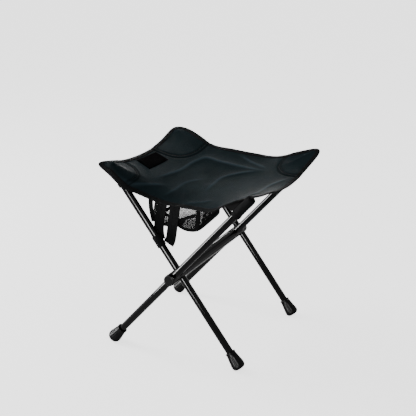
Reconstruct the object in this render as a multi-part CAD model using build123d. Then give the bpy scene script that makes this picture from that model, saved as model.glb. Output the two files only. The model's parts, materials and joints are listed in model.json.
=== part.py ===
"""Folding camp stool: four crossed steel legs on one crossbar, with a hammock seat.

Millimetres. +Z is up, the floor is z = 0 and the origin lies under the middle of the crossbar.
The crossbar runs along Y. Each leg is one straight tube that passes through its own hub on the
crossbar, and it leans along X. The seat cloth hangs from the four leg tops.
"""
from build123d import *
from math import atan2, ceil, cos, degrees, pi, radians, sin, tan
import os

# ---- driving dimensions -------------------------------------------------------------------
# legs
leg_diameter = 16.0
leg_wall = 1.2
leg_lean = 39.3            # degrees from vertical when the stool is open
leg_top_height = 416.5     # height of the top plug's crown
inner_leg_y = 132.0        # distance of the inner legs' plane from the middle

# crossbar
bar_height = 197.0
bar_diameter = 25.4
bar_wall = 1.5
hub_length = 28.8
washer_thickness = 1.0
axial_play = 0.1           # free space on each side of a washer
axle_diameter = 8.0
running_clearance = 0.05   # radial, between the axle and whatever turns on it
fit_clearance = 0.05       # radial, between a tube and the piece it is pushed into
axle_head_diameter = 14.0
axle_head_thickness = 2.6
bushing_length = 16.0
cap_thickness = 3.4
cap_overhang = -0.4        # the cap's radius beyond the bar's

# leg ends
plug_crown_height = 5.0
plug_spigot_length = 18.0
foot_length = 42.0
foot_rim_diameter = 23.0
foot_base_diameter = 30.0
foot_socket_depth = 30.0
foot_sole_radius = 7.0
foot_sole_trim = 0.8       # how far the dome is worn flat where it stands
foot_step_height = 3.0
foot_step_depth = 1.0

# seat cloth
seat_overhang_x = 20.34    # how far the corners reach past the leg tops
seat_overhang_y = 18.0
seat_corner_rise = 11.5    # of the corners above the leg tops
seat_front_drop = 54.5     # of the front edge's middle under the leg tops
seat_rear_drop = 20.5
seat_belly = 10.0          # how far the middle hangs under the line between those two
seat_side_sag = 28.0
seat_edge_hollow = 36.0    # how far the front and rear edges curve in
seat_side_hollow = 20.0
seat_rise_sharpness = 2.2
cloth_thickness = 2.0
binding_thickness = 2.8
binding_width = 10.0
cloth_gap = 0.3            # between cloth and what it lies on

# pockets that hold the leg tops
pocket_length = 58.0
pocket_cloth = 1.0

# hook-and-loop patch on the seat
patch_length = 86.0        # along Y
patch_width = 48.0         # along X
patch_inset = 59.0         # of its middle from the left corners, along X
patch_centre_y = 18.0
patch_thickness = 1.2

# mesh pouch under the seat
pouch_left = -88.0
pouch_right = 30.0
pouch_inset = 21.0         # of its front from the inner legs' plane
pouch_rear = 18.0
pouch_drop = 71.0          # of its floor under the seat's front edge
pouch_mouth_drop = 40.0    # of the top of its low front wall
pouch_wall = 1.6
pouch_corner = 14.0
pouch_tape_height = 7.0
pouch_tape_thickness = 1.4

# webbing
strap_width = 25.0
strap_thickness = 1.6
tie_top_x = -53.0
tail_top_x = -19.0
tail_end_x = -27.0
tail_end_drop = 108.0      # of its end under the seat's front edge
loop_drop = 100.0          # of the middle of the loop on the left front leg
loop_length = 28.0
loop_clearance = 0.5

# ---- derived places -----------------------------------------------------------------------
lean = radians(leg_lean)
leg_radius = leg_diameter / 2
bar_radius = bar_diameter / 2
axle_radius = axle_diameter / 2
bore_radius = axle_radius + running_clearance
outer_leg_y = inner_leg_y + hub_length + washer_thickness + 2 * axial_play
top_reach = (leg_top_height - bar_height) / cos(lean)
leg_top_x = (leg_top_height - bar_height) * tan(lean)
seat_half_length = round(leg_top_x + seat_overhang_x, 2)
seat_inner_corner_y = inner_leg_y + seat_overhang_y
seat_outer_corner_y = outer_leg_y + seat_overhang_y
seat_corner_height = leg_top_height + seat_corner_rise
seat_front_height = leg_top_height - seat_front_drop
seat_rear_height = leg_top_height - seat_rear_drop
patch_centre_x = patch_inset - seat_half_length
pouch_front = pouch_inset - inner_leg_y
pouch_bottom = seat_front_height - pouch_drop
pouch_mouth_height = seat_front_height - pouch_mouth_drop
tail_end_height = seat_front_height - tail_end_drop
loop_height = seat_front_height - loop_drop
foot_dome_radius = foot_base_diameter / 2 - foot_sole_radius
foot_dip = foot_dome_radius * (1 - cos(lean)) + foot_sole_radius * sin(lean)
foot_reach = (bar_height - foot_dip + foot_sole_trim) / cos(lean)
tube_top = top_reach - plug_crown_height
tube_bottom = -(foot_reach - (foot_length - foot_socket_depth))
hub_outer_end = outer_leg_y + hub_length / 2
tube_half_length = inner_leg_y - hub_length / 2 - washer_thickness - 2 * axial_play
bar_end = hub_outer_end + axial_play + cap_thickness

# name: (side of the top along X, plane along Y)
legs = {
    "left_front": (-1, -inner_leg_y),
    "right_front": (1, -outer_leg_y),
    "left_rear": (-1, outer_leg_y),
    "right_rear": (1, inner_leg_y),
}


def along_leg(side, y):
    """Place of a leg: origin at its hub, local +Z up along the leg."""
    return Pos(0, y, bar_height) * Rot(0, side * leg_lean, 0)


def rod_y(radius, start, end, height=bar_height):
    """Round bar along Y."""
    return Pos(0, (start + end) / 2, height) * Rot(90, 0, 0) * Cylinder(radius, end - start)


def upright(radius, low, high):
    """Round bar along local Z from low to high."""
    return Pos(0, 0, (low + high) / 2) * Cylinder(radius, high - low)


def turned(points):
    """Solid of revolution about local Z from (radius, height) points."""
    return revolve(make_face(Polyline([(r, 0, z) for r, z in points], close=True)), Axis.Z)


parts = {}


# ---- legs: tube, top plug, rubber foot ----------------------------------------------------
def leg_tube():
    tube = upright(leg_radius, tube_bottom, tube_top)
    tube -= upright(leg_radius - leg_wall, tube_bottom, tube_top)
    return tube - Rot(90, 0, 0) * Cylinder(bore_radius, 2 * leg_diameter)


def top_plug():
    spigot_radius = leg_radius - leg_wall - fit_clearance
    crown = upright(leg_radius, tube_top, top_reach)
    crown = fillet(crown.edges().group_by(Axis.Z)[-1], min(plug_crown_height, leg_radius) - 0.4)
    return crown + upright(spigot_radius, tube_top - plug_spigot_length, tube_top)


def rubber_foot():
    base = -foot_reach
    rim = base + foot_length
    base_radius = foot_base_diameter / 2
    rim_radius = foot_rim_diameter / 2
    dome_top = base + foot_dome_radius
    step = rim - foot_step_height
    outline = Polyline(
        (foot_sole_radius, 0, base),
        (0, 0, base),
        (0, 0, rim),
        (rim_radius, 0, rim),
        (rim_radius, 0, step),
        (rim_radius - foot_step_depth, 0, step - foot_step_depth),
        (base_radius, 0, dome_top),
    )
    corner = foot_dome_radius * sin(pi / 4)
    dome = ThreePointArc(
        (base_radius, 0, dome_top),
        (foot_sole_radius + corner, 0, dome_top - corner),
        (foot_sole_radius, 0, base),
    )
    foot = revolve(make_face(outline + dome), Axis.Z)
    return foot - upright(leg_radius + fit_clearance, base + foot_length - foot_socket_depth, rim)


above_floor = Pos(0, 0, 500) * Box(2000, 2000, 1000)
for name, (side, y) in legs.items():
    place = along_leg(side, y)
    parts["leg_tube_" + name] = place * leg_tube()
    parts["top_plug_" + name] = place * top_plug()
    parts["foot_" + name] = (place * rubber_foot()) & above_floor


# ---- hubs: a short length of bar, cross-bored for its leg, that turns on the axle ----------
def hub(side, y):
    body = rod_y(bar_radius, y - hub_length / 2, y + hub_length / 2)
    body = fillet(body.edges().filter_by(GeomType.CIRCLE), 0.6)
    body -= along_leg(side, y) * Cylinder(leg_radius + fit_clearance, 4 * bar_diameter)
    body -= rod_y(bore_radius, y - hub_length, y + hub_length)
    if abs(y) == outer_leg_y:
        out = 1 if y > 0 else -1
        seat = y + out * (hub_length / 2 - axle_head_thickness - axial_play)
        ends = sorted((seat, y + out * hub_length))
        body -= rod_y(axle_head_diameter / 2 + 4 * running_clearance, *ends)
    return body


for name, (side, y) in legs.items():
    parts["hub_" + name] = hub(side, y)

# ---- crossbar: axle, middle tube, bushings, washers, end caps -------------------------------
head_face = hub_outer_end
axle = rod_y(axle_radius, -head_face, head_face)
for end in (-1, 1):
    reach = sorted((end * (head_face - axle_head_thickness), end * head_face))
    axle += rod_y(axle_head_diameter / 2, *reach)
parts["axle"] = axle

middle = rod_y(bar_radius, -tube_half_length, tube_half_length)
middle -= rod_y(bar_radius - bar_wall, -tube_half_length, tube_half_length)
parts["middle_tube"] = middle

for name, end in (("front", -1), ("rear", 1)):
    span = sorted((end * (tube_half_length - bushing_length), end * tube_half_length))
    bushing = rod_y(bar_radius - bar_wall - fit_clearance, *span)
    parts["bushing_" + name] = bushing - rod_y(bore_radius, *span)

    cap_start = hub_outer_end + axial_play
    shell = sorted((end * cap_start, end * bar_end))
    cap = rod_y(bar_radius + cap_overhang, *shell)
    rim = cap.edges().filter_by(GeomType.CIRCLE).sort_by(Axis.Y)[-1 if end > 0 else 0]
    cap = fillet(rim, 1.6)
    boss = sorted((end * hub_outer_end, end * cap_start))
    parts["end_cap_" + name] = cap + rod_y(axle_head_diameter / 2 - 1, *boss)

    places = {
        "inner": inner_leg_y - hub_length / 2 - axial_play - washer_thickness,
        "outer": inner_leg_y + hub_length / 2 + axial_play,
    }
    for where, start in places.items():
        span = sorted((end * start, end * (start + washer_thickness)))
        washer = rod_y(bar_radius - 0.7, *span) - rod_y(bore_radius, *span)
        parts["washer_" + where + "_" + name] = washer


# ---- seat cloth ---------------------------------------------------------------------------
def seat_point(u, v):
    """The cloth's middle surface: u runs 0 to 1 left to right, v runs 0 to 1 front to rear."""
    across = 2 * u - 1
    deep = 2 * v - 1
    shift = (seat_outer_corner_y + seat_inner_corner_y) / 2
    skew = (seat_outer_corner_y - seat_inner_corner_y) / 2
    x = across * (seat_half_length - seat_side_hollow * (1 - deep**2) ** 2)
    y = deep * (shift - seat_edge_hollow * (1 - across**2) ** 2) - skew * across
    middle_height = seat_front_height + (seat_rear_height - seat_front_height) * v
    middle_height -= seat_belly * 4 * v * (1 - v)
    side_height = seat_corner_height - seat_side_sag * (1 - deep**2) ** 2
    rise = sin(abs(across) * pi / 2) ** seat_rise_sharpness
    return Vector(x, y, middle_height + (side_height - middle_height) * rise)


def seat_offset(u, v, height):
    """A point that stands off the middle surface along its normal."""
    step = 0.002
    along = seat_point(u + step, v) - seat_point(u - step, v)
    over = seat_point(u, v + step) - seat_point(u, v - step)
    return seat_point(u, v) + along.cross(over).normalized() * height


def cloth(u_range, v_range, thickness, height=0.0, spacing=14.0):
    """A closed sheet over a range of u and v, in rows and columns about one spacing apart."""
    width = (u_range[1] - u_range[0]) * 2 * seat_half_length
    depth = (v_range[1] - v_range[0]) * 2 * seat_outer_corner_y
    columns = max(4, ceil(width / spacing))
    rows = max(4, ceil(depth / spacing))
    grid = []
    for i in range(columns + 1):
        u = u_range[0] + (u_range[1] - u_range[0]) * i / columns
        line = []
        for j in range(rows + 1):
            v = v_range[0] + (v_range[1] - v_range[0]) * j / rows
            line.append(seat_offset(u, v, height - thickness / 2))
        grid.append(line)
    low = Face.make_surface_from_array_of_points(grid, tol=0.02)
    return Solid.thicken(low, thickness, normal_override=Vector(0, 0, 1))


edge_u = binding_width / (2 * seat_half_length)
edge_v = binding_width / (seat_outer_corner_y + seat_inner_corner_y)
gap_u = cloth_gap / seat_half_length
gap_v = cloth_gap / seat_inner_corner_y
parts["seat_panel"] = cloth(
    (edge_u + gap_u, 1 - edge_u - gap_u), (edge_v + gap_v, 1 - edge_v - gap_v), cloth_thickness
)
parts["edge_binding"] = Compound(
    children=[
        cloth((0, 1), (0, edge_v), binding_thickness),
        cloth((0, 1), (1 - edge_v, 1), binding_thickness),
        cloth((0, edge_u), (edge_v + gap_v, 1 - edge_v - gap_v), binding_thickness),
        cloth((1 - edge_u, 1), (edge_v + gap_v, 1 - edge_v - gap_v), binding_thickness),
    ]
)


def seat_parameters(x, y):
    """The u and v of the cloth point that lies over (x, y), found by Newton steps."""
    u, v = 0.5, 0.5
    step = 0.001
    for _ in range(30):
        here = seat_point(u, v)
        du = (seat_point(u + step, v) - here) * (1 / step)
        dv = (seat_point(u, v + step) - here) * (1 / step)
        det = du.X * dv.Y - du.Y * dv.X
        miss_x = x - here.X
        miss_y = y - here.Y
        u += 0.7 * (miss_x * dv.Y - miss_y * dv.X) / det
        v += 0.7 * (miss_y * du.X - miss_x * du.Y) / det
    return u, v


u_mid, v_mid = seat_parameters(patch_centre_x, patch_centre_y)
half_u = patch_width / 2 / (2 * seat_half_length)
half_v = patch_length / 2 / (seat_outer_corner_y + seat_inner_corner_y)
parts["hook_patch"] = cloth(
    (u_mid - half_u, u_mid + half_u),
    (v_mid - half_v, v_mid + half_v),
    patch_thickness,
    height=cloth_thickness / 2 + cloth_gap / 3 + patch_thickness / 2,
)


# ---- corner pockets: a closed sleeve of cloth over each leg top ----------------------------
def corner_pocket():
    inner = leg_radius + cloth_gap
    outer = inner + pocket_cloth
    crown = top_reach + cloth_gap
    sleeve = upright(outer, crown + pocket_cloth - pocket_length, crown + pocket_cloth)
    sleeve = fillet(sleeve.edges().group_by(Axis.Z)[-1], plug_crown_height)
    hollow = upright(inner, crown - 2 * pocket_length, crown)
    hollow = fillet(hollow.edges().group_by(Axis.Z)[-1], plug_crown_height - pocket_cloth)
    return sleeve - hollow


for name, (side, y) in legs.items():
    parts["corner_pocket_" + name] = along_leg(side, y) * corner_pocket()

# ---- mesh pouch and webbing, all of which end just under the seat cloth ---------------------
cut_depth = 120.0


def above_cloth(thickness):
    """Everything above a cloth of a thickness and a gap below it, to cut pieces that end there."""
    return cloth((0, 1), (0, 1), cut_depth + thickness, height=cut_depth / 2 - cloth_gap)


def pouch_block(margin, low, high):
    """The pouch's plan between two heights, larger or smaller than its outside by a margin."""
    width = pouch_right - pouch_left + 2 * margin
    depth = pouch_rear - pouch_front + 2 * margin
    centre = Pos((pouch_left + pouch_right) / 2, (pouch_front + pouch_rear) / 2, low)
    return centre * extrude(RectangleRounded(width, depth, pouch_corner + margin), high - low)


tall = seat_corner_height
pouch = pouch_block(0, pouch_bottom, tall)
pouch -= pouch_block(-pouch_wall, pouch_bottom + pouch_wall, tall)
mouth_width = pouch_right - pouch_left - 2 * pouch_corner
mouth_middle = (pouch_left + pouch_right) / 2
mouth = Pos(mouth_middle, pouch_front, (pouch_mouth_height + tall) / 2) * Box(
    mouth_width, 4 * pouch_wall, tall - pouch_mouth_height
)
parts["mesh_pouch"] = pouch - mouth - above_cloth(cloth_thickness)

tape = Pos(mouth_middle, pouch_front - pouch_tape_thickness / 2, 0) * Pos(
    0, 0, pouch_mouth_height - pouch_tape_height / 2
)
parts["pouch_tape"] = tape * Box(mouth_width, pouch_tape_thickness, pouch_tape_height)


def along_left_front(height):
    """X of the left front leg's axis at a height."""
    return -(height - bar_height) * tan(lean)


def hanging_strap(top_x, end_x, end_height, y):
    """A flat strap in a plane of constant Y, from above the cloth down to its end."""
    half = strap_width / 2
    outline = [
        (top_x - half, tall),
        (top_x + half, tall),
        (end_x + half, end_height),
        (end_x - half, end_height),
    ]
    face = make_face(Polyline([(x, y, z) for x, z in outline], close=True))
    return extrude(face, amount=strap_thickness, dir=(0, 1, 0))


loop_radius = leg_radius + loop_clearance + strap_thickness
tie_y = -inner_leg_y + loop_radius + cloth_gap
loop_x = along_left_front(loop_height)
tie_end = loop_height - loop_length / 2
above_binding = above_cloth(binding_thickness)
parts["tie_strap"] = hanging_strap(tie_top_x, loop_x, tie_end, tie_y) - above_binding
tail = hanging_strap(tail_top_x, tail_end_x, tail_end_height, tie_y)
parts["tail_strap"] = tail - above_binding
loop_reach = (loop_height - bar_height) / cos(lean)
loop = upright(loop_radius, loop_reach - loop_length / 2, loop_reach + loop_length / 2)
loop -= upright(leg_radius + loop_clearance, 0, top_reach)
parts["strap_loop"] = along_leg(-1, -inner_leg_y) * loop

# ---- files --------------------------------------------------------------------------------
os.makedirs("parts", exist_ok=True)
for name, shape in parts.items():
    export_step(shape, "parts/" + name + ".step")
print(len(parts), "nodes")
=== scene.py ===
"""Looks of a folding camp stool: black steel legs, rubber feet, a slate hammock seat and a mesh pouch.

Metres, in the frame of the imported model: +Z up, the floor at z = 0, the crossbar along Y.
"""
import json
from math import atan2, cos, pi, radians, sin

import bpy
import numpy as np
from mathutils import Matrix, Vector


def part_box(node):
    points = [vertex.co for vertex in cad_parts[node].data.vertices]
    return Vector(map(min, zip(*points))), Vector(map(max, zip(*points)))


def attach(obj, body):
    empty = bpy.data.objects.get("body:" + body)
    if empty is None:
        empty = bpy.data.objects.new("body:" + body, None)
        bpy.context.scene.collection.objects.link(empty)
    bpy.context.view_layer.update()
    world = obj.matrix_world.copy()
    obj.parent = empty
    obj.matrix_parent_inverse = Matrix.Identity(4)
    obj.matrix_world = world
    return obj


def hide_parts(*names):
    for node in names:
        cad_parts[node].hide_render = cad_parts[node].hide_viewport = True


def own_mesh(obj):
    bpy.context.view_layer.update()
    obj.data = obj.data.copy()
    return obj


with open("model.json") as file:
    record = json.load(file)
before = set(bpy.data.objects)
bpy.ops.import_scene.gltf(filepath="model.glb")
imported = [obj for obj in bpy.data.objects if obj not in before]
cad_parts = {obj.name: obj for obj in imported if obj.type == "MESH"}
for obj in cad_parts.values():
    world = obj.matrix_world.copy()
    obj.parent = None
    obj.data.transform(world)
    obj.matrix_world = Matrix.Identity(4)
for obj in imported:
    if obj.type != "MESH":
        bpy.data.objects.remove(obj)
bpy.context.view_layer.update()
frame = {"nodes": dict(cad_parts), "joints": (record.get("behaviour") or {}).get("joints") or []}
scene = bpy.context.scene
mm = 0.001

# ---- Camera -------------------------------------------------------------------------------
# A standing person's view of the stool from its front right, a little from above.
camera = bpy.data.objects.new("camera", bpy.data.cameras.new("camera"))
scene.collection.objects.link(camera)
camera_turn, camera_tilt, camera_roll = radians(27.71), radians(21.29), radians(1.66)
camera.data.sensor_width = 36
camera.data.lens = 77.45
camera.location = (0.876, -1.675, 1.0428)
camera.rotation_mode = "QUATERNION"
camera.rotation_quaternion = (
    Matrix.Rotation(camera_turn, 3, "Z")
    @ Matrix.Rotation(pi / 2 - camera_tilt, 3, "X")
    @ Matrix.Rotation(camera_roll, 3, "Z")
).to_quaternion()
scene.camera = camera


# ---- Floor and light ----------------------------------------------------------------------
# A plain white floor and backdrop under one softbox. Three more lamps light only gloss, and
# draw the thin white lines on the tubes.
def hex_colour(text):
    """An sRGB hex value as linear red, green, blue and full alpha."""
    value = np.array([int(text[i:i + 2], 16) for i in (0, 2, 4)]) / 255
    linear = np.where(value <= 0.04045, value / 12.92, ((value + 0.055) / 1.055) ** 2.4)
    return (*linear, 1.0)


def new_material(name, inputs):
    """A node material whose shader has these constant inputs; colours are written in hex."""
    material = bpy.data.materials.new(name)
    material.use_nodes = True
    shader = material.node_tree.nodes["Principled BSDF"]
    for socket, value in inputs.items():
        shader.inputs[socket].default_value = hex_colour(value) if isinstance(value, str) else value
    return material


def add_node(material, kind, settings=None, **links):
    """Adds a node. settings fill its properties or its inputs, and links go into its inputs."""
    tree = material.node_tree
    node = tree.nodes.new(kind)
    for key, value in (settings or {}).items():
        if key in node.inputs:
            node.inputs[key].default_value = value
        else:
            setattr(node, key, value)
    for key, source in links.items():
        tree.links.new(source, node.inputs[key.replace("_", " ")])
    return node


def join(material, source, socket):
    """Links an output to a named input of the material's shader."""
    tree = material.node_tree
    tree.links.new(source, tree.nodes["Principled BSDF"].inputs[socket])


def object_place(material):
    """The object's own coordinates, in metres."""
    return add_node(material, "ShaderNodeTexCoord").outputs["Object"]


def noise(material, place, scale, detail=2.0):
    """Cloudy noise from 0 to 1 over a place."""
    settings = {"Scale": scale, "Detail": detail}
    return add_node(material, "ShaderNodeTexNoise", settings, Vector=place).outputs["Fac"]


def roughen(material, height, strength, distance):
    """Bumps the material's surface by a height value."""
    settings = {"Strength": strength, "Distance": distance}
    bump = add_node(material, "ShaderNodeBump", settings, Height=height)
    join(material, bump.outputs["Normal"], "Normal")


camera_only_strength = 2.0


def camera_glow(holder, base):
    """Emission strength: a base that lights the scene, and more for what the camera sees."""
    seen = add_node(holder, "ShaderNodeLightPath").outputs["Is Camera Ray"]
    glow = add_node(holder, "ShaderNodeMath", {"operation": "MULTIPLY_ADD"})
    holder.node_tree.links.new(seen, glow.inputs[0])
    glow.inputs[1].default_value = camera_only_strength
    glow.inputs[2].default_value = base
    return glow.outputs[0]


def grid_quads(index):
    """Four-cornered faces between the neighbours in a grid of vertex numbers."""
    return np.stack([index[:-1, :-1], index[1:, :-1], index[1:, 1:], index[:-1, 1:]], -1)


def surface(name, points, closed_u=False, closed_v=False, material=None):
    """A mesh object from a grid of points (rows, columns, 3); a closed direction joins its ends."""
    rows, columns = points.shape[:2]
    index = np.arange(rows * columns).reshape(rows, columns)
    if closed_u:
        index = np.vstack([index, index[:1]])
    if closed_v:
        index = np.hstack([index, index[:, :1]])
    return solid(name, points.reshape(-1, 3), grid_quads(index).reshape(-1, 4), material)


def solid(name, points, faces, material=None):
    """A smooth-shaded mesh object from points and faces."""
    mesh = bpy.data.meshes.new(name)
    mesh.from_pydata(np.asarray(points).tolist(), [], np.asarray(faces).tolist())
    mesh.update()
    mesh.polygons.foreach_set("use_smooth", np.ones(len(mesh.polygons), bool))
    piece = bpy.data.objects.new(name, mesh)
    scene.collection.objects.link(piece)
    if material:
        mesh.materials.append(material)
    return piece


floor_white = new_material(
    "white_floor",
    {
        "Base Color": "F4F4F4",
        "Roughness": 0.9,
        "Specular IOR Level": 0.0,
        "Emission Color": (1, 1, 1, 1),
    },
)
join(floor_white, camera_glow(floor_white, 0.0), "Emission Strength")
span = np.linspace(-6, 6, 3)
grid = np.stack([*np.meshgrid(span, span, indexing="ij"), np.zeros((3, 3))], -1)
surface("floor", grid, material=floor_white)

world = bpy.data.worlds.new("studio")
scene.world = world
world.use_nodes = True
backdrop = world.node_tree.nodes["Background"]
backdrop.inputs["Color"].default_value = (1, 1, 1, 1)
world.node_tree.links.new(camera_glow(world, 0.5), backdrop.inputs["Strength"])


def area_light(name, place, target, size, power):
    """A rectangular lamp at a place, turned to face a target."""
    lamp = bpy.data.lights.new(name, "AREA")
    lamp.shape = "RECTANGLE"
    lamp.size, lamp.size_y = size
    lamp.energy = power
    holder = bpy.data.objects.new(name, lamp)
    scene.collection.objects.link(holder)
    away = Matrix.Translation(place).to_translation() - Matrix.Translation(target).to_translation()
    holder.location = place
    holder.rotation_mode = "QUATERNION"
    holder.rotation_quaternion = away.to_track_quat("Z", "Y")
    return holder


# the lamps that only draw the gloss lines light no matt surface
gloss_lamps = (
    ("front_box", (0.2, -2.3, 0.5), (0, 0, 0.25), (0.6, 1.0), 95),
    ("left_box", (-2.1, -0.8, 0.5), (0, 0, 0.25), (0.6, 1.0), 95),
    ("rear_strip", (-0.9, 1.9, 0.75), (0, 0, 0.2), (0.3, 0.8), 20),
)
for gloss_lamp in gloss_lamps:
    area_light(*gloss_lamp).visible_diffuse = False
area_light("key_softbox", (-1.7, -0.2, 1.5), (0, 0, 0.4), (0.8, 0.8), 25)

# ---- Steel tubes: legs and crossbar ---------------------------------------------------------
# Drawn steel tube with a gloss black powder coat. The coat is deep black with a faint orange
# peel, so lamps show in it as thin, slightly wavy white lines.
powder_coat = new_material(
    "gloss_black_powder_coat",
    {"Base Color": "060607", "Roughness": 0.07, "Specular IOR Level": 0.18},
)
roughen(powder_coat, noise(powder_coat, object_place(powder_coat), 900.0), 0.05, 0.0002)

around = np.linspace(0, 2 * pi, 65)[:-1]


def turned(profile, origin, axis, ribs=None):
    """A surface of revolution: each (radius, height) of the profile turned about the axis.

    ribs is an optional function of (angle, height) that scales the radius.
    """
    profile = np.asarray(profile, float)
    axis = np.asarray(axis, float) / np.linalg.norm(axis)
    side = np.cross(axis, (0.0, 1.0, 0.0)) if abs(axis[1]) < 0.9 else np.array((1.0, 0.0, 0.0))
    side /= np.linalg.norm(side)
    other = np.cross(axis, side)
    radius = profile[:, None, 0] * np.ones_like(around)
    if ribs is not None:
        radius = radius * ribs(around[None, :], profile[:, None, 1])
    ring = np.cos(around)[:, None] * side + np.sin(around)[:, None] * other
    return np.asarray(origin) + profile[:, None, 1:] * axis + radius[..., None] * ring[None]


def rounded(points, radius, steps=5):
    """A polyline with each inner corner replaced by a curve that starts one radius away."""
    points = np.asarray(points, float)
    out = [points[0]]
    for before, corner, after in zip(points, points[1:], points[2:]):
        back, ahead = before - corner, after - corner
        reach = min(radius, 0.45 * np.linalg.norm(back), 0.45 * np.linalg.norm(ahead))
        start = corner + back / np.linalg.norm(back) * reach
        end = corner + ahead / np.linalg.norm(ahead) * reach
        for t in np.linspace(0, 1, steps):
            out.append((1 - t) ** 2 * start + 2 * t * (1 - t) * corner + t * t * end)
    out.append(points[-1])
    return np.array(out)


def run_lengths(points):
    """How far along a polyline each of its points lies."""
    return np.concatenate([[0], np.cumsum(np.linalg.norm(np.diff(points, axis=0), axis=1))])


def divided(profile, count):
    """The profile with evenly spaced points added along it."""
    lengths = run_lengths(profile)
    stations = np.union1d(lengths, np.linspace(0, lengths[-1], count))
    return np.stack([np.interp(stations, lengths, profile[:, k]) for k in (0, 1)], -1)


def revolve_piece(name, profile, origin, axis, material, body, nodes, ribs=None):
    """A turned piece that rides on a body and stands for CAD nodes."""
    piece = surface(name, turned(profile, origin, axis, ribs), closed_v=True, material=material)
    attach(piece, body)
    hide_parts(*nodes)
    return piece


hinge = {j["child"]: j for j in frame["joints"] if j["type"] == "hinge"}
leg_radius = (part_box("leg_tube_left_front")[1].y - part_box("leg_tube_left_front")[0].y) / 2
loop_joint = next(j for j in frame["joints"] if j["name"] == "loop_slide")
lean = atan2(abs(loop_joint["axis"][0]), loop_joint["axis"][2])
leg_names = ("left_front", "right_front", "left_rear", "right_rear")


def leg_line(name):
    """A leg's hub point and its unit direction, up along the leg."""
    side = -1 if name.startswith("left") else 1
    return np.array(hinge["leg_" + name]["pos_m"]), np.array((side * sin(lean), 0.0, cos(lean)))


def along(name, node, end):
    """How far along its leg a CAD node of the leg reaches: end 0 is its low end, 1 its high end."""
    origin, axis = leg_line(name)
    mesh = frame["nodes"][node].data
    points = np.empty(len(mesh.vertices) * 3)
    mesh.vertices.foreach_get("co", points)
    reach = (points.reshape(-1, 3) - origin) @ axis
    return reach.max() if end else reach.min()


def coat(material, nodes):
    """Gives CAD pieces that stay as they are one finish."""
    for node in nodes:
        frame["nodes"][node].data.materials.clear()
        frame["nodes"][node].data.materials.append(material)


tube_wall = 1.2 * mm
tube_edge = 0.6 * mm        # rounding of a tube's cut ends
for name in leg_names:
    origin, axis = leg_line(name)
    tube = "leg_tube_" + name
    low, high = along(name, tube, 0), along(name, tube, 1)
    inner = leg_radius - tube_wall
    outline = [(inner, low), (leg_radius, low), (leg_radius, high), (inner, high)]
    profile = np.vstack([rounded(outline, tube_edge), (inner, high), (inner, low)])
    revolve_piece(tube + "_finish", profile, origin, axis, powder_coat, "leg_" + name, [tube])

coat(powder_coat, ["middle_tube", *("hub_" + name for name in leg_names)])

# ---- Caps, plugs, washers and bushings -------------------------------------------------------
# Injection-moulded black nylon, a little duller than the powder coat and finely grained.
nylon = new_material(
    "moulded_black_nylon", {"Base Color": "08080A", "Roughness": 0.32, "Specular IOR Level": 0.2}
)
roughen(nylon, noise(nylon, object_place(nylon), 2500.0), 0.12, 0.0001)
moulded = ("top_plug", "washer", "bushing", "end_cap")
coat(nylon, [node for node in frame["nodes"] if node.startswith(moulded)])

# The axle rod is bright zinc-plated steel, hidden inside the hubs.
zinc = new_material(
    "zinc_plated_steel", {"Base Color": "B9BBBE", "Metallic": 1.0, "Roughness": 0.3}
)
coat(zinc, ["axle"])

# ---- Rubber feet ------------------------------------------------------------------------------
# Moulded black rubber ferrules, ribbed lengthwise for grip, with a stepped rim round the tube,
# ring grooves under the sole, and a small flat where each one stands.
rubber = new_material(
    "moulded_black_rubber", {"Base Color": "0A0A0B", "Specular IOR Level": 0.12}
)
rubber_place = object_place(rubber)
dust = add_node(
    rubber,
    "ShaderNodeMapRange",
    {"From Min": 0.3, "From Max": 0.8, "To Min": 0.28, "To Max": 0.5},
    Value=noise(rubber, rubber_place, 140.0, 4.0),
)
join(rubber, dust.outputs["Result"], "Roughness")
roughen(rubber, noise(rubber, rubber_place, 1800.0), 0.25, 0.0002)

rib_count = 16
rib_height = 0.07           # as a share of the radius
rib_span = (9 * mm, 34 * mm)
rib_fade = 6                # ribs rise and die out over a sixth of their span
foot_length = 42.0          # the outline's radii and heights are in millimetres
foot_outline = [
    (0.0, 0.0), (3.0, 0.0), (3.4, 0.9), (4.2, 0.9), (4.6, 0.0), (7.0, 0.0), (10.2, 0.7),
    (12.7, 2.4), (14.4, 5.0), (15.0, 8.0), (14.3, 14.0), (13.2, 20.0), (12.1, 28.0),
    (10.9, 37.6), (10.9, 38.3), (11.5, 39.0), (11.5, foot_length), (8.2, foot_length), (8.2, 36.0),
]


def rib_scale(base):
    """Radius scale for ribs that swell between two heights over the foot's base."""
    def scale(angle, height):
        up = (height - base - rib_span[0]) / (rib_span[1] - rib_span[0])
        fade = np.clip(np.minimum(up, 1 - up) * rib_fade, 0, 1)
        return 1 + rib_height * fade * (np.abs(np.cos(rib_count / 2 * angle)) - 0.5)
    return scale


for name in leg_names:
    origin, axis = leg_line(name)
    foot = "foot_" + name
    base = along(name, foot, 1) - foot_length * mm
    profile = divided(rounded(np.array(foot_outline) * mm + (0, base), 0.8 * mm), 60)
    profile[0, 0] = 0.01 * mm
    points = turned(profile, origin, axis, rib_scale(base))
    points[..., 2] = np.maximum(points[..., 2], 0.0)    # the worn flat it stands on
    piece = surface(foot + "_moulded", points, closed_v=True, material=rubber)
    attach(piece, "leg_" + name)
    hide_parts(foot)

# ---- Seat cloth -------------------------------------------------------------------------------
# One panel of coated slate polyester, pulled over the four leg tops. Its front edge hangs
# lowest, its corners turn up to tips, and pull lines run in from the corners.
u_count, v_count = 169, 145


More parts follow.
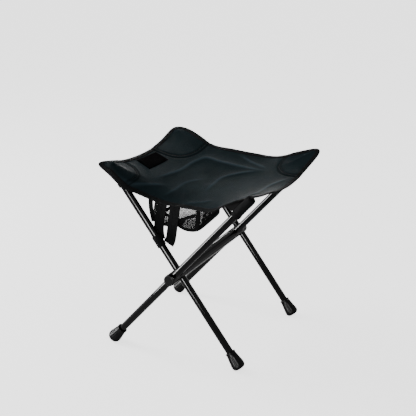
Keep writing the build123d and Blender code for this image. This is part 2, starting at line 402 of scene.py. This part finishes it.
def through(points, t):
    """A smooth curve through points: cubic pieces by chord length, read at t from 0 to 1."""
    points = np.asarray(points, float)
    chord = run_lengths(points)
    knots = chord / chord[-1]
    slope = np.gradient(points, knots, axis=0, edge_order=1)
    piece = np.clip(np.searchsorted(knots, t, side="right") - 1, 0, len(points) - 2)
    width = (knots[piece + 1] - knots[piece])[..., None]
    f = (t - knots[piece])[..., None] / width
    return (
        (2 * f**3 - 3 * f**2 + 1) * points[piece]
        + (f**3 - 2 * f**2 + f) * width * slope[piece]
        + (3 * f**2 - 2 * f**3) * points[piece + 1]
        + (f**3 - f**2) * width * slope[piece + 1]
    )


# corners, before they are rounded, and the four hems between them: x, y, z in millimetres
corner_left_front = (-217, -160, 424)
corner_right_front = (208, -185, 434)
corner_left_rear = (-205, 194, 427)
corner_right_rear = (213, 157, 452)
front_hem = [
    corner_left_front,
    (-176, -149, 399),
    (-145, -144, 376),
    (-100, -131, 359),
    (-50, -127, 349),
    (20, -128, 352),
    (78, -139, 361),
    (115, -147, 386),
    (155, -156, 408),
    corner_right_front,
]
rear_hem = [
    corner_left_rear,
    (-155, 177, 423),
    (-121, 160, 419),
    (-74, 147, 406),
    (-11, 138, 407),
    (43, 134, 408),
    (104, 131, 412),
    (150, 134, 429),
    corner_right_rear,
]
left_hem = [
    corner_left_front,
    (-198, -112, 414),
    (-188, -57, 404),
    (-184, -10, 402),
    (-184, 45, 403),
    (-190, 105, 409),
    corner_left_rear,
]
right_hem = [
    corner_right_front,
    (197, -115, 418),
    (194, -60, 406),
    (192, 0, 399),
    (193, 45, 403),
    (199, 100, 421),
    corner_right_rear,
]


def hems_between(s, t):
    """The patch spanned by the four hems: the two straight blends, less the corners' own blend."""
    s, t = np.broadcast_arrays(s, t)
    ends = [np.array(c, float) for c in (
        corner_left_front, corner_right_front, corner_left_rear, corner_right_rear
    )]
    s3, t3 = s[..., None], t[..., None]
    return (
        (1 - t3) * through(front_hem, s) + t3 * through(rear_hem, s)
        + (1 - s3) * through(left_hem, t) + s3 * through(right_hem, t)
        - (1 - s3) * (1 - t3) * ends[0] - s3 * (1 - t3) * ends[1]
        - (1 - s3) * t3 * ends[2] - s3 * t3 * ends[3]
    ) * mm


corner_power = 10          # a higher power makes the seat's corners sharper


def round_corners(a, b):
    """Pulls the corners of the square in to a superellipse, and leaves its middle as it is."""
    m = np.maximum(np.maximum(abs(a), abs(b)), 1e-9)
    total = np.maximum(abs(a / m) ** corner_power + abs(b / m) ** corner_power, 1.0)
    pull = total ** (-1 / corner_power)
    scale = 1 + (pull - 1) * m**4
    return a * scale, b * scale


pocket_radius = leg_radius + 1.6 * mm
cloth_over_leg = 3.0 * mm


def leg_tops(x, y, radius):
    """Height of the upper side of the four round-ended legs over each (x, y), or minus infinity."""
    best = np.full(x.shape, -np.inf)
    for name in leg_names:
        origin, axis = leg_line(name)
        crown = along(name, "top_plug_" + name, 1) - leg_radius
        across = y - origin[1]
        chord = np.sqrt(np.maximum(radius**2 - across**2, 0))
        z = origin[2] + (x - origin[0]) * axis[2] / axis[0] + chord / sin(lean)
        reach = (x - origin[0]) * axis[0] + (z - origin[2]) * axis[2]
        on_tube = (abs(across) < radius) & (reach <= crown) & (reach > 0)
        centre = origin + axis * crown
        ball = radius**2 - (x - centre[0]) ** 2 - across**2
        dome = centre[2] + np.sqrt(np.maximum(ball, 0))
        on_dome = (ball > 0) & (reach > crown)
        best = np.where(on_tube, np.maximum(best, z), best)
        best = np.where(on_dome, np.maximum(best, dome), best)
    return best


sag_per_step = 0.18 * mm   # pull of the cloth's weight and use, spread over the coarse grid
settling_rounds = 600
levels = ((22, 19), (43, 37), (85, 73), (u_count, v_count))
height = None
for columns, rows in levels:
    a, b = np.meshgrid(np.linspace(-1, 1, columns), np.linspace(-1, 1, rows), indexing="ij")
    ra, rb = round_corners(a, b)
    plan = hems_between((ra + 1) / 2, (rb + 1) / 2)
    edge_height = plan[..., 2].copy()
    if height is None:
        height = edge_height.copy()
    else:
        # each finer grid starts from the coarser one, read between its points
        old_u = np.linspace(-1, 1, height.shape[0])
        old_v = np.linspace(-1, 1, height.shape[1])
        new_u, new_v = np.linspace(-1, 1, columns), np.linspace(-1, 1, rows)
        part = np.array([np.interp(new_u, old_u, line) for line in height.T]).T
        height = np.array([np.interp(new_v, old_v, line) for line in part])
    for side in (np.s_[0, :], np.s_[-1, :], np.s_[:, 0], np.s_[:, -1]):
        height[side] = edge_height[side]
    floor_under = leg_tops(plan[..., 0], plan[..., 1], leg_radius + cloth_over_leg)
    pull = sag_per_step * (levels[0][0] / columns) ** 2
    for _ in range(settling_rounds):
        mean = (height[:-2, 1:-1] + height[2:, 1:-1] + height[1:-1, :-2] + height[1:-1, 2:]) / 4
        height[1:-1, 1:-1] = np.maximum(mean - pull, floor_under[1:-1, 1:-1])

seat_grid = np.stack([plan[..., 0], plan[..., 1], height], -1)


def smooth_step(t):
    """0 below t = 0, 1 above t = 1, and smooth between."""
    t = np.clip(t, 0, 1)
    return t * t * (3 - 2 * t)


def near_path(points, path):
    """Distance in plan from each point to a polyline, and how far along it the nearest spot is."""
    best = np.full(points.shape[:-1], np.inf)
    where = np.zeros(points.shape[:-1])
    lengths = run_lengths(path)
    for k, (start, end) in enumerate(zip(path, path[1:])):
        way = end - start
        t = np.clip(((points - start) @ way) / (way @ way), 0, 1)
        gap = np.linalg.norm(points - start - t[..., None] * way, axis=-1)
        closer = gap < best
        best = np.where(closer, gap, best)
        where = np.where(closer, (lengths[k] + t * np.sqrt(way @ way)) / lengths[-1], where)
    return best, where


# pull lines: their run in plan, height and half width in millimetres
creases = [
    (
        ((-109, -80), (-95, -40), (-80, 3), (-72, 58), (-58, 84), (-24, 82), (23, 76), (78, 68),
         (122, 66)),
        3.2,
        12,
    ),
    (((96, 66), (51, 46), (21, 16), (17, -20), (17, -64)), 2.4, 12),
    (((-10, 6), (-42, -41), (-47, -77), (-60, -112)), 1.4, 12),
    (((-158, -142), (-128, -128), (-107, -105), (-70, -66)), 1.8, 12),
    (((176, 48), (151, -11), (147, -77), (134, -118), (84, -124)), 2.6, 11),
    (((8, 124), (56, 96), (110, 72)), 1.8, 10),
    (((-6, -114), (30, -103), (60, -92)), 1.4, 10),
    (((-40, 30), (-10, 10), (10, -30)), -1.4, 18),
]
lift, painted_crest_highlight = np.zeros(height.shape), np.zeros(height.shape)
for run, rise, width in creases:
    ends = np.array(run, float) * mm
    path = through(np.column_stack([ends, np.zeros(len(ends))]), np.linspace(0, 1, 40))[:, :2]
    gap, where = near_path(seat_grid[..., :2], path)
    fade = smooth_step(where * 4) * smooth_step((1 - where) * 4)
    crest = np.sqrt((gap / (width * mm)) ** 2 + 0.04) - 0.2
    lift += rise * mm * fade * np.exp(-1.6 * crest)
    # painted highlight: a share of pale colour along each raised crease's crest
    painted_crest_highlight += max(rise, 0) / 3.5 * fade * np.exp(-((gap / (3.5 * mm)) ** 2))
edge_fade = smooth_step((1 - np.maximum(abs(a), abs(b))) * 12)
seat_grid[..., 2] += lift * edge_fade


def seat_at(a, b):
    """A point of the seat's grid read between its four neighbours; a and b run from -1 to 1."""
    i = np.clip((np.asarray(a) + 1) / 2 * (u_count - 1), 0, u_count - 1.001)
    j = np.clip((np.asarray(b) + 1) / 2 * (v_count - 1), 0, v_count - 1.001)
    i0, j0 = i.astype(int), j.astype(int)
    fi, fj = (i - i0)[..., None], (j - j0)[..., None]
    return (
        (1 - fi) * (1 - fj) * seat_grid[i0, j0] + fi * (1 - fj) * seat_grid[i0 + 1, j0]
        + (1 - fi) * fj * seat_grid[i0, j0 + 1] + fi * fj * seat_grid[i0 + 1, j0 + 1]
    )


def seat_normal(a, b):
    """The seat's upward normal, from points a little to each side."""
    a, b, step = np.asarray(a), np.asarray(b), 0.012
    along_a = seat_at(a + step, b) - seat_at(a - step, b)
    along_b = seat_at(a, b + step) - seat_at(a, b - step)
    normal = np.cross(along_a, along_b)
    return normal / np.linalg.norm(normal, axis=-1, keepdims=True)


# corner patches are a second layer, so the cloth steps up inside each corner's seam
seam_power = 2.6
corners = {
    (-1, -1): (0.43, 0.51), (1, -1): (0.43, 0.55), (-1, 1): (0.60, 0.84), (1, 1): (0.43, 0.68)
}
seam = np.zeros(height.shape)
for (sa, sb), (seam_a, seam_b) in corners.items():
    ring = ((1 - a * sa) / seam_a) ** seam_power + ((1 - b * sb) / seam_b) ** seam_power
    ring **= 1 / seam_power
    seat_grid[..., 2] += 0.7 * mm * smooth_step((1 - ring) / 0.03)
    groove = np.exp(-(((ring - 1.0) / 0.02) ** 2)) + np.exp(-(((ring - 0.93) / 0.02) ** 2))
    seat_grid[..., 2] -= 1.2 * mm * groove
    # the groove mask also darkens the cloth's colour: painted shade in the seam grooves
    seam += groove

slate = new_material("coated_slate_polyester", {"Roughness": 0.62, "Specular IOR Level": 0.03})
slate_place = object_place(slate)
# plain weave of doubled yarn, 0.9 mm between threads: drawn coarser than the real 0.5 mm
yarn = 2 * pi / (0.9 * mm)
split = add_node(slate, "ShaderNodeSeparateXYZ", Vector=slate_place)


def combine(material, operation, first, second):
    """One Math node of two values."""
    node = add_node(material, "ShaderNodeMath", {"operation": operation})
    for socket, value in zip(node.inputs, (first, second)):
        if isinstance(value, (int, float)):
            socket.default_value = value
        else:
            material.node_tree.links.new(value, socket)
    return node.outputs[0]


def sine_of(material, value, scale):
    """sin(value * scale)."""
    return combine(material, "SINE", combine(material, "MULTIPLY", value, scale), 0.5)


def blend(material, share, first, second):
    """A colour mixed from a colour output towards a hex colour by a share."""
    mix = add_node(material, "ShaderNodeMix", {"data_type": "RGBA"})
    material.node_tree.links.new(share, mix.inputs[0])
    material.node_tree.links.new(first, mix.inputs[6])
    mix.inputs[7].default_value = hex_colour(second)
    return mix.outputs[2]


weave = combine(
    slate,
    "MULTIPLY",
    sine_of(slate, split.outputs["X"], yarn / 2),
    sine_of(slate, split.outputs["Y"], yarn / 2),
)
blotch = combine(slate, "MULTIPLY", noise(slate, slate_place, 14.0, 5.0), 0.5)
slub = combine(slate, "MULTIPLY", noise(slate, slate_place, 420.0, 3.0), 0.35)
threads = combine(slate, "ADD", slub, combine(slate, "MULTIPLY", weave, 0.10))
tone = combine(slate, "ADD", blotch, threads)
ramp = add_node(slate, "ShaderNodeValToRGB", Fac=tone)
for stop, position, colour in zip(ramp.color_ramp.elements, (0.25, 0.65), ("0D171A", "1A272B")):
    stop.position, stop.color = position, hex_colour(colour)
# painted highlight, a lighter colour along the pull lines' crests; painted shade, a darker colour in
# the corner seams' grooves
crest_highlight_share = add_node(slate, "ShaderNodeAttribute", {"attribute_name": "painted_crest_highlight"})
seam_shade_share = add_node(slate, "ShaderNodeAttribute", {"attribute_name": "seam"})
pale = blend(slate, crest_highlight_share.outputs["Fac"], ramp.outputs["Color"], "2E3D44")
# painted shade: the colour goes darker towards 070A0C along the seam grooves
join(slate, blend(slate, seam_shade_share.outputs["Fac"], pale, "070A0C"), "Base Color")
crinkle = combine(slate, "MULTIPLY", noise(slate, slate_place, 60.0, 3.0), 1.6)
relief = combine(slate, "ADD", combine(slate, "MULTIPLY", weave, 0.35), crinkle)
roughen(slate, relief, 0.5, 0.0006)


def with_seat(piece, *nodes, slot=None):
    """Soft pieces rise with the seat, each with a mesh of its own."""
    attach(piece, "seat")
    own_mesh(piece)
    if nodes:
        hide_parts(*nodes)
    return piece


def thicken(piece, thickness):
    """Gives a sheet its thickness, on the side away from its normals."""
    modifier = piece.modifiers.new("thickness", "SOLIDIFY")
    modifier.thickness = thickness
    modifier.offset = -1


seat = surface("seat_cloth", seat_grid, material=slate)
# attributes for the cloth's colour: a painted highlight on the crests and a painted shade in the seam
# grooves
for label, values in (("painted_crest_highlight", np.clip(painted_crest_highlight, 0, 0.6)), ("seam", np.clip(0.75 * seam, 0, 0.75))):
    seat.data.attributes.new(label, "FLOAT", "POINT").data.foreach_set("value", values.ravel())
thicken(seat, 1.2 * mm)
with_seat(seat, "seat_panel", slot="seat_polyester")

# ---- Edge binding and seams ---------------------------------------------------------------------
# Black woven tape folded over the whole hem, sewn down with one row of stitches, and a double
# row of stitches along the curved seam of each corner patch.
tape_black = new_material(
    "black_binding_tape", {"Base Color": "090B0C", "Roughness": 0.72, "Specular IOR Level": 0.06}
)
split = add_node(tape_black, "ShaderNodeSeparateXYZ", Vector=object_place(tape_black))
cord = 2 * pi / (1.1 * mm)
x_and_z = combine(tape_black, "ADD", split.outputs["X"], split.outputs["Z"])
y_less_z = combine(tape_black, "SUBTRACT", split.outputs["Y"], split.outputs["Z"])
twill = combine(
    tape_black,
    "MULTIPLY",
    sine_of(tape_black, x_and_z, cord),
    sine_of(tape_black, y_less_z, cord),
)
roughen(tape_black, twill, 0.5, 0.0003)
thread = new_material(
    "black_bonded_thread", {"Base Color": "0B0D0F", "Roughness": 0.5, "Specular IOR Level": 0.08}
)

run_a, run_b = np.linspace(-1, 1, u_count), np.linspace(-1, 1, v_count)
edge_a = np.concatenate([run_a[:-1], 1 + 0 * run_b[:-1], run_a[:0:-1], -1 + 0 * run_b[:0:-1]])
edge_b = np.concatenate([-1 + 0 * run_a[:-1], run_b[:-1], 1 + 0 * run_a[:0:-1], run_b[:0:-1]])
edge = seat_at(edge_a, edge_b)
tangent = np.roll(edge, -1, axis=0) - np.roll(edge, 1, axis=0)
for _ in range(4):
    tangent = (np.roll(tangent, 1, axis=0) + 2 * tangent + np.roll(tangent, -1, axis=0)) / 4
tangent /= np.linalg.norm(tangent, axis=1, keepdims=True)
inset = seat_at(edge_a * 0.95, edge_b * 0.95) - edge
inset_width = np.linalg.norm(np.cross(inset, tangent), axis=1)
edge_up = seat_normal(edge_a * 0.97, edge_b * 0.97)
outward = np.cross(tangent, edge_up)


def from_hem(width):
    """The grid position at a width in from the hem, for every point around it."""
    share = 1 - 0.05 * max(width, 0) / inset_width
    return edge_a * share, edge_b * share


binding_profile = [
    (9.9, 0.0), (9.9, 0.5), (9.0, 0.75), (5.0, 0.85), (0.6, 0.95), (-0.5, 0.7), (-1.1, 0.0),
    (-1.2, -0.7), (-0.9, -1.5), (0.0, -2.1), (5.0, -2.1), (9.0, -2.0), (9.9, -1.7), (9.9, -1.2),
]
rings = []
for width, up in binding_profile:
    ring_a, ring_b = from_hem(width * mm)
    rings.append(seat_at(ring_a, ring_b) + up * mm * edge_up + max(-width, 0) * mm * outward)
binding = surface("hem_binding", np.stack(rings, 1), True, True, tape_black)
with_seat(binding, "edge_binding", slot="black_tape")


def stitch_row(name, a_line, b_line, pitch, lift_by, closed=False):
    """A row of stitches on the seat: each is an ellipsoid, longer along the row than across."""
    line = seat_at(a_line, b_line)
    normals = seat_normal(a_line, b_line)
    if closed:
        line, normals = np.vstack([line, line[:1]]), np.vstack([normals, normals[:1]])
    lengths = run_lengths(line)
    spots = np.arange(pitch / 2, lengths[-1], pitch)
    centre = np.stack([np.interp(spots, lengths, line[:, k]) for k in range(3)], -1)
    ahead = np.stack([np.interp(spots + 0.3 * mm, lengths, line[:, k]) for k in range(3)], -1)
    up = np.stack([np.interp(spots, lengths, normals[:, k]) for k in range(3)], -1)
    forward = ahead - centre
    forward /= np.maximum(np.linalg.norm(forward, axis=1, keepdims=True), 1e-9)
    side = np.cross(up, forward)
    slices, sides = 7, 6
    turn = np.linspace(0, 2 * pi, sides + 1)[:-1]
    tip = np.linspace(0.08, pi - 0.08, slices)
    x = np.cos(tip)[:, None] * np.ones(sides)
    y = np.sin(tip)[:, None] * np.cos(turn)
    z = np.sin(tip)[:, None] * np.sin(turn)
    shape = np.stack([x * 0.42 * pitch, y * 0.45 * mm, z * 0.3 * mm], -1).reshape(-1, 3)
    points = (
        centre[:, None] + shape[:, :1] * forward[:, None] + shape[:, 1:2] * side[:, None]
        + (shape[:, 2:] + lift_by) * up[:, None]
    )
    index = np.arange(slices * sides).reshape(slices, sides)
    quads = grid_quads(np.hstack([index, index[:, :1]]))
    faces = quads.reshape(1, -1, 4) + index.size * np.arange(len(spots))[:, None, None]
    return with_seat(solid(name, points.reshape(-1, 3), faces.reshape(-1, 4), thread))


stitch_row("hem_stitches", *from_hem(7.6 * mm), 3.4 * mm, 0.85 * mm, closed=True)
sweep = np.linspace(0.03, pi / 2 - 0.03, 120)
for (sa, sb), (seam_a, seam_b) in corners.items():
    for number, size in enumerate((0.965, 0.925)):
        line_a = sa * (1 - size * seam_a * np.cos(sweep) ** (2 / seam_power))
        line_b = sb * (1 - size * seam_b * np.sin(sweep) ** (2 / seam_power))
        inside = (abs(line_a) < 0.965) & (abs(line_b) < 0.95)
        end = ("left" if sa < 0 else "right") + ("_front" if sb < 0 else "_rear")
        row = f"corner_stitches_{end}_{number + 1}"
        stitch_row(row, line_a[inside], line_b[inside], 3.2 * mm, 0.1 * mm)

# ---- Hook patch -----------------------------------------------------------------------------
# A rectangle of black hook pile sewn on near the left hem, for a tag: a rough velvety face.
pile = new_material(
    "black_hook_pile", {"Base Color": "040405", "Roughness": 0.95, "Specular IOR Level": 0.02}
)
cells = add_node(pile, "ShaderNodeTexVoronoi", {"Scale": 700.0}, Vector=object_place(pile))
roughen(pile, cells.outputs["Distance"], 0.9, 0.0008)


def near_on_seat(x, y):
    """The grid position of the seat under each plan point: a few Newton steps."""
    pa, pb = np.asarray(x) / (200 * mm), np.asarray(y) / (160 * mm)
    step = 0.01
    for _ in range(25):
        here = seat_at(pa, pb)
        da = (seat_at(pa + step, pb) - here) / step
        db = (seat_at(pa, pb + step) - here) / step
        miss_x, miss_y = x - here[..., 0], y - here[..., 1]
        det = da[..., 0] * db[..., 1] - da[..., 1] * db[..., 0]
        pa = np.clip(pa + 0.7 * (miss_x * db[..., 1] - miss_y * db[..., 0]) / det, -1, 1)
        pb = np.clip(pb + 0.7 * (miss_y * da[..., 0] - miss_x * da[..., 1]) / det, -1, 1)
    return pa, pb


patch_corners = [(-174, -36), (-168, 41), (-127, 31), (-132, -45)]
s, t = np.meshgrid(np.linspace(0, 1, 47), np.linspace(0, 1, 61), indexing="ij")
p0, p1, p2, p3 = (np.array(c) * mm for c in patch_corners)
s3, t3 = s[..., None], t[..., None]
patch_plan = (1 - s3) * ((1 - t3) * p0 + t3 * p1) + s3 * ((1 - t3) * p3 + t3 * p2)
patch_a, patch_b = near_on_seat(patch_plan[..., 0], patch_plan[..., 1])
normals = seat_normal(patch_a, patch_b)
# in millimetres: a flat sewn margin 0.9 high, the pile inside it, and an edge let into the cloth
sewn_margin = 3.0
border = np.minimum(np.minimum(s, 1 - s) * 50, np.minimum(t, 1 - t) * 86)
rough = np.random.default_rng(5).uniform(0, 1, s.shape)
stand = np.where(border > sewn_margin, 1.5 + 0.5 * rough, 0.9)
stand = np.where(border < 0.01, -0.4, stand)
top_points = seat_at(patch_a, patch_b) + stand[..., None] * mm * normals
patch = surface("hook_patch_pile", top_points, material=pile)
with_seat(patch, "hook_patch", slot="hook_pile")

# ---- Corner pockets -------------------------------------------------------------------------
# A closed sleeve of the seat's cloth over each leg top, hemmed at its open lower end.
pocket_cloth = new_material(
    "dark_polyester_lining", {"Base Color": "090A0C", "Roughness": 0.8, "Specular IOR Level": 0.06}
)
roughen(pocket_cloth, noise(pocket_cloth, object_place(pocket_cloth), 700.0, 3.0), 0.4, 0.0004)


def soft_folds(angle, height):
    """Radius scale of shallow folds around a sleeve: 1 to 1.05, never below the sleeve itself."""
    return 1.02 + 0.02 * np.sin(5 * angle + 180 * height) + 0.01 * np.sin(9 * angle - 260 * height)


for name in leg_names:
    origin, axis = leg_line(name)
    pocket = "corner_pocket_" + name
    low, high = along(name, pocket, 0), along(name, pocket, 1)
    inner, outer = leg_radius + 0.4 * mm, pocket_radius
    outline = [
        (inner, low + 8 * mm),
        (inner, low),
        (outer + 0.8 * mm, low),
        (outer + 0.8 * mm, low + 9 * mm),
        (outer, low + 10 * mm),
        (outer, high - 4 * mm),
        (outer - 1.5 * mm, high - 1.2 * mm),
        (outer - 5 * mm, high),
        (0.01 * mm, high),
    ]
    profile = divided(rounded(outline, 1.0 * mm), 40)
    sleeve = revolve_piece(
        pocket + "_sewn", profile, origin, axis, pocket_cloth, "leg_" + name, [pocket], soft_folds
    )

# each pocket is sewn on with a gusset, a slanted flap from the sleeve up to the cloth
for name in leg_names:
    origin, axis = leg_line(name)
    pocket = "corner_pocket_" + name
    side, end = np.sign(axis[0]), np.sign(origin[1])
    low, high = along(name, pocket, 0), along(name, pocket, 1)
    r, k = np.meshgrid(
        np.linspace(low + 1 * mm, high - 8 * mm, 24), np.linspace(0, 1, 12), indexing="ij"
    )
    line = origin + r[..., None] * axis
    foot_end = line + np.array([0.0, -end * (pocket_radius - 1 * mm), 0.0])
    top_x = line[..., 0] - side * (34 - 22 * (r - low) / (high - low)) * mm
    top_y = line[..., 1] - end * 15 * mm
    cloth_a, cloth_b = near_on_seat(top_x, top_y)
    top = seat_at(cloth_a, cloth_b) - [0.0, 0.0, 1.5 * mm]
    flap = foot_end + k[..., None] * (top - foot_end)
    gusset = surface("pocket_gusset_" + name, flap, material=pocket_cloth)
    thicken(gusset, 0.8 * mm)
    with_seat(gusset)

# ---- Mesh pouch -----------------------------------------------------------------------------
# A bag of black diamond net under the front of the seat. Its front wall is low, with a bound
# mouth that sags, and more binding runs down its front corners and around its floor.
net = new_material(
    "black_polyester_net", {"Base Color": "08090A", "Roughness": 0.6, "Specular IOR Level": 0.1}
)

net_step = 2.0 * mm
pouch_west, pouch_east, pouch_south, pouch_north = -87 * mm, 28.5 * mm, -109.5 * mm, 16.5 * mm
centre_x, centre_y = (pouch_west + pouch_east) / 2, (pouch_south + pouch_north) / 2


def pouch_plan(turn, inset):
    """The pouch's plan at an angle: a superellipse of power 6, drawn in by an inset."""
    c, s = np.cos(turn), np.sin(turn)
    reach = (abs(c) ** 6 + abs(s) ** 6) ** (-1 / 6)
    half_x = (pouch_east - pouch_west) / 2 - inset
    half_y = (pouch_north - pouch_south) / 2 - inset
    return centre_x + half_x * reach * c, centre_y + half_y * reach * s


def pouch_floor(x, y):
    """The floor rises towards the rear, and has a shallow hump in its front edge."""
    rear = (y - pouch_south) / (pouch_north - pouch_south)
    hump = np.exp(-(((x + 26 * mm) / (15 * mm)) ** 2)) * np.exp(-6 * rear)
    return (291.5 + 12 * rear + 7 * hump) * mm


def seat_underside(x, y):
    """Height of the cloth's lower face over each plan point."""
    return seat_at(*near_on_seat(x, y))[..., 2] - 1.4 * mm


def mouth_line(x):
    """Height of the mouth's edge: lowest left of the middle, and up to both front corners."""
    low_x, low_z = -20 * mm, 311 * mm
    rise_right = 24 * mm * np.clip((x - low_x) / (46 * mm), 0, 1)
    rise_left = 20 * mm * np.clip((low_x - x) / (58 * mm), 0, 1)
    return low_z + np.where(x > low_x, rise_right, rise_left)


dense = np.linspace(-pi, pi, 4001)
px, py = pouch_plan(dense, 0)
lengths = np.concatenate([[0], np.cumsum(np.hypot(np.diff(px), np.diff(py)))])
column_count = 2 * round(lengths[-1] / net_step / 2)
turns = np.interp(np.arange(column_count) * lengths[-1] / column_count, lengths, dense)
row_count = 42
rows = np.arange(row_count)[None, :]
wall_x, wall_y = pouch_plan(turns[:, None], 0 * rows)
base_z = pouch_floor(wall_x, wall_y)
wall_z = base_z + rows * net_step
billow = (2.5 * np.sin(rows / 24 * pi) - 4.0 * np.exp(-rows / 3)) * mm
wall_x, wall_y = pouch_plan(turns[:, None], -billow)
limit = np.repeat(seat_underside(wall_x[:, 0], wall_y[:, 0])[:, None], row_count, 1)
in_mouth = (wall_y < pouch_south + 12 * mm) & (wall_x > -76 * mm) & (wall_x < 22 * mm)
limit = np.where(in_mouth, mouth_line(wall_x), limit)


def net_surface(name, points, keep, wrap):
    """Diamond net: vertices where row + column is even, a diamond around each odd one."""
    count, depth = points.shape[:2]
    index = np.arange(count * depth).reshape(count, depth)
    i, j = np.meshgrid(np.arange(count), np.arange(depth), indexing="ij")
    odd = ((i + j) % 2 == 1) & (j > 0) & (j < depth - 1) & keep
    if not wrap:
        odd &= (i > 0) & (i < count - 1)
    i, j = i[odd], j[odd]
    before, after = (i - 1) % count, (i + 1) % count
    quads = np.stack([index[i, j - 1], index[after, j], index[i, j + 1], index[before, j]], -1)
    used, faces = np.unique(quads, return_inverse=True)
    piece = solid(name, points.reshape(-1, 3)[used], faces.reshape(-1, 4), net)
    strands = piece.modifiers.new("strands", "WIREFRAME")
    strands.thickness = 1.2 * mm
    strands.use_even_offset = False
    return piece


wall_points = np.stack([wall_x, wall_y, wall_z], -1)
net_walls = net_surface("net_walls", wall_points, wall_z < limit - 1.0 * mm, True)
with_seat(net_walls, "mesh_pouch", slot="polyester_mesh")

floor_i, floor_j = np.meshgrid(
    np.arange(-28, 29) * net_step, np.arange(-31, 32) * net_step, indexing="ij"
)
floor_x, floor_y = centre_x + floor_i, centre_y + floor_j
half = ((pouch_east - pouch_west) / 2 - 4 * mm, (pouch_north - pouch_south) / 2 - 4 * mm)
inside = (abs(floor_i) / half[0]) ** 6 + (abs(floor_j) / half[1]) ** 6 < 1
sag = -3 * mm * (1 - (floor_i / half[0]) ** 2) * (1 - (floor_j / half[1]) ** 2)
floor_z = pouch_floor(floor_x, floor_y) + np.where(inside, sag, 0)
net_floor = net_surface("net_floor", np.stack([floor_x, floor_y, floor_z], -1), inside, False)
with_seat(net_floor, "mesh_pouch")


def ribbon(name, path, across, width, thick, material, closed=False):
    """A flat band along a path: a superellipse section, width across by thick, with closed ends."""
    path, across = np.asarray(path, float), np.asarray(across, float)
    across = across / np.linalg.norm(across, axis=1, keepdims=True)
    forward = np.roll(path, -1, axis=0) - np.roll(path, 1, axis=0)
    if not closed:
        forward[0], forward[-1] = path[1] - path[0], path[-1] - path[-2]
    up = np.cross(forward, across)
    up /= np.linalg.norm(up, axis=1, keepdims=True)
    turn = np.linspace(0, 2 * pi, 21)[:-1]
    c, s = np.cos(turn), np.sin(turn)
    w = np.sign(c) * abs(c) ** 0.25 * width / 2
    h = np.sign(s) * abs(s) ** 0.6 * thick / 2
    points = path[:, None] + w[None, :, None] * across[:, None] + h[None, :, None] * up[:, None]
    if not closed:
        # each end is closed by shrinking its ring almost to its middle
        ends = [0.99 * ring.mean(1, keepdims=True) + 0.01 * ring for ring in (points[:1], points[-1:])]
        points = np.vstack([ends[0], points, ends[1]])
    return surface(name, points, closed, True, material)


# the mouth's binding, then the two front corners' and the floor's
mouth_x = np.linspace(-76, 24, 60) * mm
mouth_path = np.column_stack([mouth_x, np.full(60, pouch_south - 1.2 * mm), mouth_line(mouth_x)])
mouth_path[:, 2] -= 3 * mm
upright_side = np.tile([0.0, 0.0, 1.0], (60, 1))
mouth_tape = ribbon("pouch_mouth_tape", mouth_path, upright_side, 8 * mm, 1.8 * mm, tape_black)
with_seat(mouth_tape, "pouch_tape", slot="black_tape")

for side, corner_x, lean_x in (("left", -82, -8), ("right", 24, 6)):
    t = np.linspace(0, 1, 30)
    x = (corner_x + lean_x * np.sin(t * pi * 0.75)) * mm
    y = np.full(30, pouch_south + 2 * mm)
    low_z, high_z = 293 * mm, seat_underside(x[-1:], y[-1:])[0] - 1 * mm
    path = np.column_stack([x, y, low_z + t * (high_z - low_z)])
    slanted = np.tile([0.93, 0.36, 0.0], (30, 1))
    corner_tape = ribbon(
        f"pouch_corner_tape_{side}", path, slanted, 10 * mm, 1.8 * mm, tape_black
    )
    with_seat(corner_tape, "pouch_tape")

ring_turns = np.linspace(-pi, pi, 161)[:-1]
x, y = pouch_plan(ring_turns, 1.5 * mm)
floor_path = np.column_stack([x, y, pouch_floor(x, y) + 0.5 * mm])
floor_side = np.tile([0.0, 0.0, 1.0], (160, 1))
floor_tape = ribbon(
    "pouch_floor_tape", floor_path, floor_side, 8 * mm, 2.0 * mm, tape_black, closed=True
)
with_seat(floor_tape, "pouch_tape")

# ---- Webbing straps -------------------------------------------------------------------------
# Two 25 mm straps of black webbing hang from the front hem. The left one is sewn into a loop
# round the left front leg; the right one is the loose tail that ties the folded stool.
webbing = new_material(
    "black_webbing", {"Base Color": "08090B", "Roughness": 0.8, "Specular IOR Level": 0.06}
)
split = add_node(webbing, "ShaderNodeSeparateXYZ", Vector=object_place(webbing))
rib_wave = 2 * pi / (1.4 * mm)
warp = combine(
    webbing,
    "MULTIPLY",
    sine_of(webbing, split.outputs["X"], rib_wave),
    sine_of(webbing, split.outputs["Z"], rib_wave / 2),
)
roughen(webbing, warp, 0.7, 0.0004)

strap_width = 25 * mm
strap_y = (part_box("tie_strap")[0].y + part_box("tie_strap")[1].y) / 2


def hanging(name, spots, nodes):
    """A strap through given spots: x, forward swing and z in millimetres."""
    spots = np.array(spots, float)
    points = np.column_stack([spots[:, 0], spots[:, 1] + strap_y / mm, spots[:, 2]]) * mm
    path = through(points, np.linspace(0, 1, 50))
    forward = np.gradient(path, axis=0)
    across = np.cross(forward, (0.0, 1.0, 0.0))
    strap = ribbon(name, path, across, strap_width, 1.6 * mm, webbing)
    with_seat(strap, *nodes, slot="black_webbing")
    return strap


hanging(
    "tie_strap_webbing",
    [(-52, 0, 349), (-55, -1.0, 330), (-58, -1.2, 308), (-60, -0.6, 290), (-59, 0.0, 274),
     (-56, 0.2, 262)],
    ["tie_strap"],
)
hanging(
    "tail_strap_webbing",
    [(-20, 0, 350), (-21, -1.5, 330), (-24, -2.0, 308), (-27, -1.0, 285), (-31, 1.0, 266),
     (-36, 1.4, 254)],
    ["tail_strap"],
)

# the loop is the same webbing, wrapped once round the leg
origin, axis = leg_line("left_front")
low, high = along("left_front", "strap_loop", 0), along("left_front", "strap_loop", 1)
inner, outer = leg_radius + 0.3 * mm, leg_radius + 2.1 * mm
outline = [
    (inner, low), (outer, low), (outer, high), (inner, high), (inner, low), (outer, low)
]
profile = rounded(outline, 0.7 * mm)[1:-1]
loop = surface(
    "strap_loop_webbing", turned(profile, origin, axis), closed_v=True, material=webbing
)
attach(loop, "strap_loop")
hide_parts("strap_loop")
